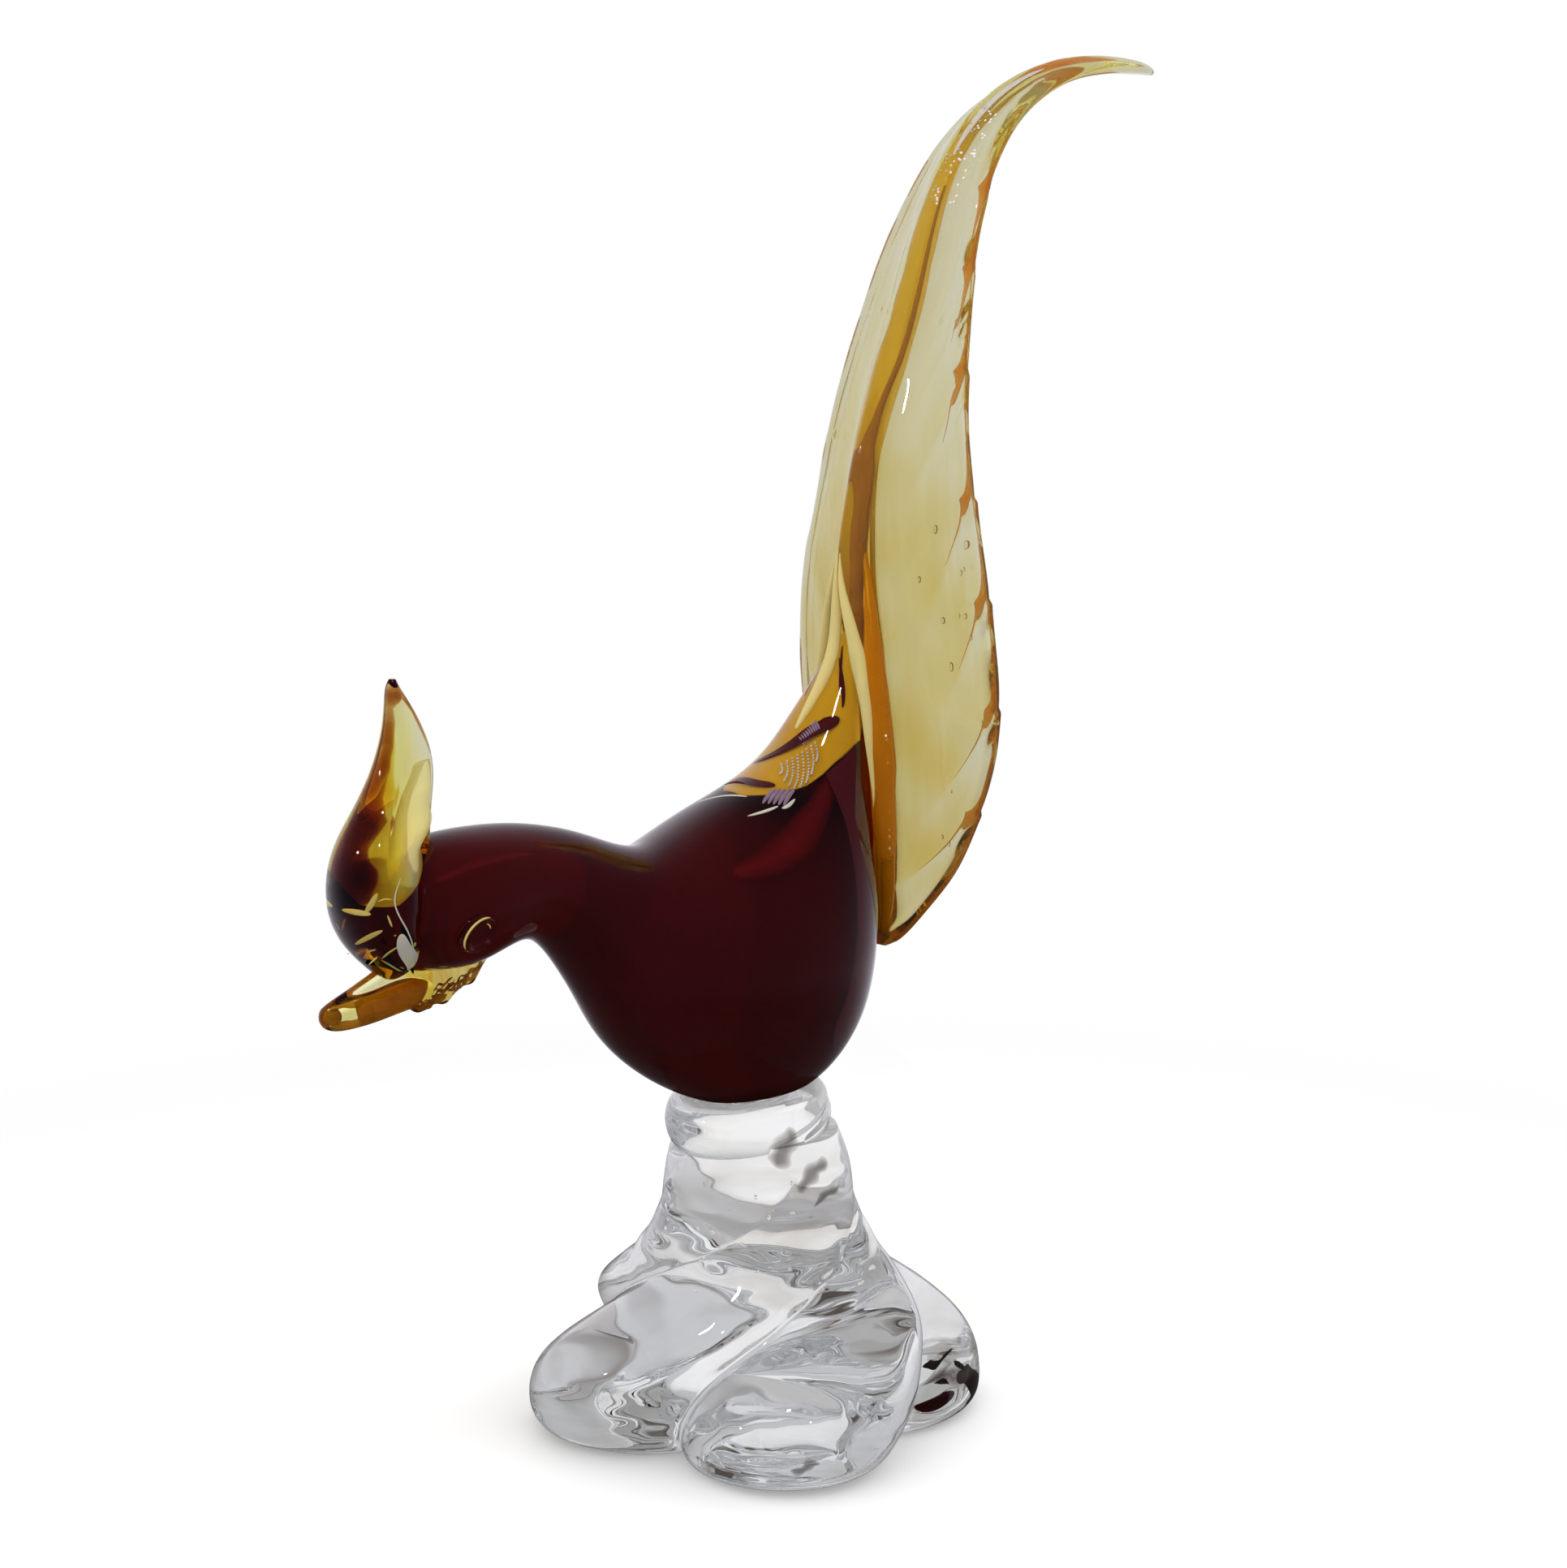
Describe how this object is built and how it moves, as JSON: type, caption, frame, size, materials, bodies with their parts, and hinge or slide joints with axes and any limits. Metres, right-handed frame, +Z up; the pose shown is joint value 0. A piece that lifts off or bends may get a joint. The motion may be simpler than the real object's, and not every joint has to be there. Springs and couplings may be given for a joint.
{
  "type": "art glass bird figurine",
  "caption": "Solid hot-worked glass bird with its head lowered as if drinking, a tall curled feather tail and crest, standing on a twisted, lobed clear foot.",
  "frame": {"origin": "centre of the foot's flat underside", "axes": "+Z up, the bird faces -X and its tail is towards +X; XZ is the bird's plane of symmetry"},
  "size_m": [0.2384, 0.1126, 0.3318],
  "materials": {
    "clear_glass": "fire-polished, faintly grey",
    "ruby_glass": "deep ruby, almost black where thick",
    "pale_amber_glass": "fire-polished, pale amber",
    "amber_glass": "fire-polished amber, brown where thick"
  },
  "bodies": {
    "root": {"foot": "clear_glass", "collar": "clear_glass", "body_core": "ruby_glass", "body_casing": "pale_amber_glass", "tail": "amber_glass", "crest": "amber_glass", "beak": "amber_glass", "wattle": "amber_glass", "left_eye": "pale_amber_glass", "right_eye": "pale_amber_glass"}
  },
  "joints": []
}
